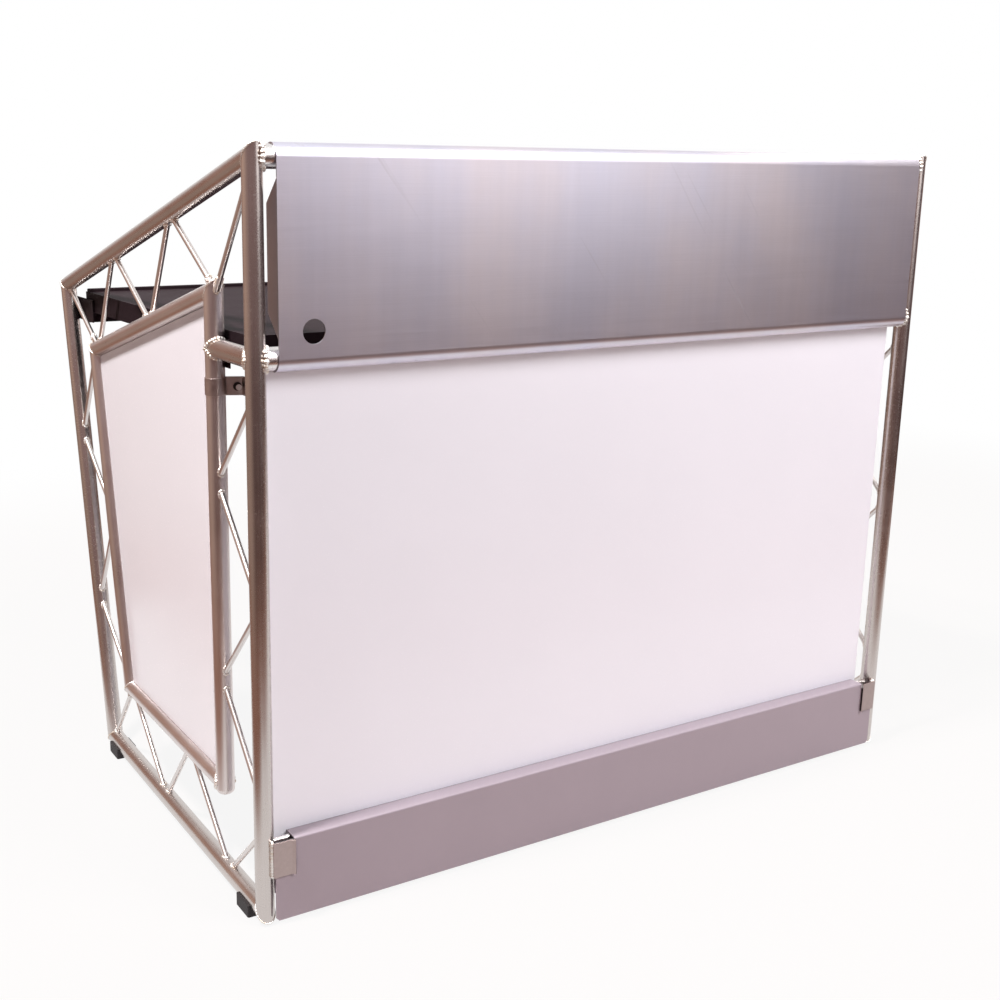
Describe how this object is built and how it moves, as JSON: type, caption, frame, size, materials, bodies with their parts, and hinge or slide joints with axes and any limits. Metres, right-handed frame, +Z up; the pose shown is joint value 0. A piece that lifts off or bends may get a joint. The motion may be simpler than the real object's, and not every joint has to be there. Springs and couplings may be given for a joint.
{
  "type": "dj booth",
  "caption": "Free-standing DJ booth: tube ladder side frames, cross rails, a hooked-on fascia, opal panels, a kickboard and a black desk.",
  "frame": {"origin": "on the floor, below the middle of the booth's bounding box", "axes": "+X to the right of someone facing the booth's front, +Y from the front to the back, +Z up"},
  "size_m": [1.385, 0.958, 1.1765],
  "materials": {
    "tube_metal": "satin mill finish",
    "rod_metal": "satin mill finish",
    "rail_metal": "satin",
    "fascia_metal": "brushed",
    "fitting_metal": "satin",
    "bracket_metal": "satin",
    "bolt_steel": "zinc plated",
    "opal_panel": "opal white",
    "board_paint": "warm grey powder coat",
    "desk_paint": "black powder coat",
    "foot_rubber": "moulded"
  },
  "bodies": {
    "frame": {"front_panel": "opal_panel", "left_back_lacing": "rod_metal", "left_back_post": "tube_metal", "left_board_holder": "fitting_metal", "left_board_stud": "fitting_metal", "left_bottom_lacing": "rod_metal", "left_bottom_tube": "tube_metal", "left_clamp": "fitting_metal", "left_clamp_bolt": "bolt_steel", "left_desk_bolts": "bolt_steel", "left_desk_brackets": "desk_paint", "left_feet": "foot_rubber", "left_front_lacing": "rod_metal", "left_front_post": "tube_metal", "left_inner_back_post": "tube_metal", "left_inner_bottom_tube": "tube_metal", "left_inner_front_post": "tube_metal", "left_inner_top_tube": "tube_metal", "left_panel_bracket": "bracket_metal", "left_rail_stubs": "rail_metal", "left_side_tabs": "bracket_metal", "left_spreader": "tube_metal", "left_top_brace": "rod_metal", "left_top_lacing": "rod_metal", "left_top_tube": "tube_metal", "lower_rail": "rail_metal", "panel_channel": "bracket_metal", "rail_pins": "bolt_steel", "right_back_lacing": "rod_metal", "right_back_post": "tube_metal", "right_board_holder": "fitting_metal", "right_board_stud": "fitting_metal", "right_bottom_lacing": "rod_metal", "right_bottom_tube": "tube_metal", "right_clamp": "fitting_metal", "right_clamp_bolt": "bolt_steel", "right_desk_bolts": "bolt_steel", "right_desk_brackets": "desk_paint", "right_feet": "foot_rubber", "right_front_lacing": "rod_metal", "right_front_post": "tube_metal", "right_inner_back_post": "tube_metal", "right_inner_bottom_tube": "tube_metal", "right_inner_front_post": "tube_metal", "right_inner_top_tube": "tube_metal", "right_panel_bracket": "bracket_metal", "right_rail_stubs": "rail_metal", "right_side_tabs": "bracket_metal", "right_spreader": "tube_metal", "right_top_brace": "rod_metal", "right_top_lacing": "rod_metal", "right_top_tube": "tube_metal", "top_rail": "rail_metal"},
    "fascia": {"fascia": "fascia_metal"},
    "kickboard": {"kickboard": "board_paint"},
    "desk": {"desk_tray": "desk_paint", "desk_apron": "desk_paint", "desk_lip": "desk_paint"},
    "left_side_panel": {"left_side_panel": "opal_panel"},
    "right_side_panel": {"right_side_panel": "opal_panel"}
  },
  "joints": [
    {"name": "fascia_swing", "type": "hinge", "parent": "frame", "child": "fascia", "pos_m": [0, -0.45247, 1.157], "axis": [-1, 0, 0], "range_deg": [0, 110]},
    {"name": "kickboard_lift", "type": "slide", "parent": "frame", "child": "kickboard", "axis": [0, 0, 1], "range_m": [0, 0.15]},
    {"name": "desk_lift", "type": "slide", "parent": "frame", "child": "desk", "axis": [0, 0, 1], "range_m": [0, 0.34]},
    {"name": "left_panel_pull", "type": "slide", "parent": "frame", "child": "left_side_panel", "axis": [-1, 0, 0], "range_m": [0, 0.1]},
    {"name": "right_panel_pull", "type": "slide", "parent": "frame", "child": "right_side_panel", "axis": [1, 0, 0], "range_m": [0, 0.1]}
  ]
}
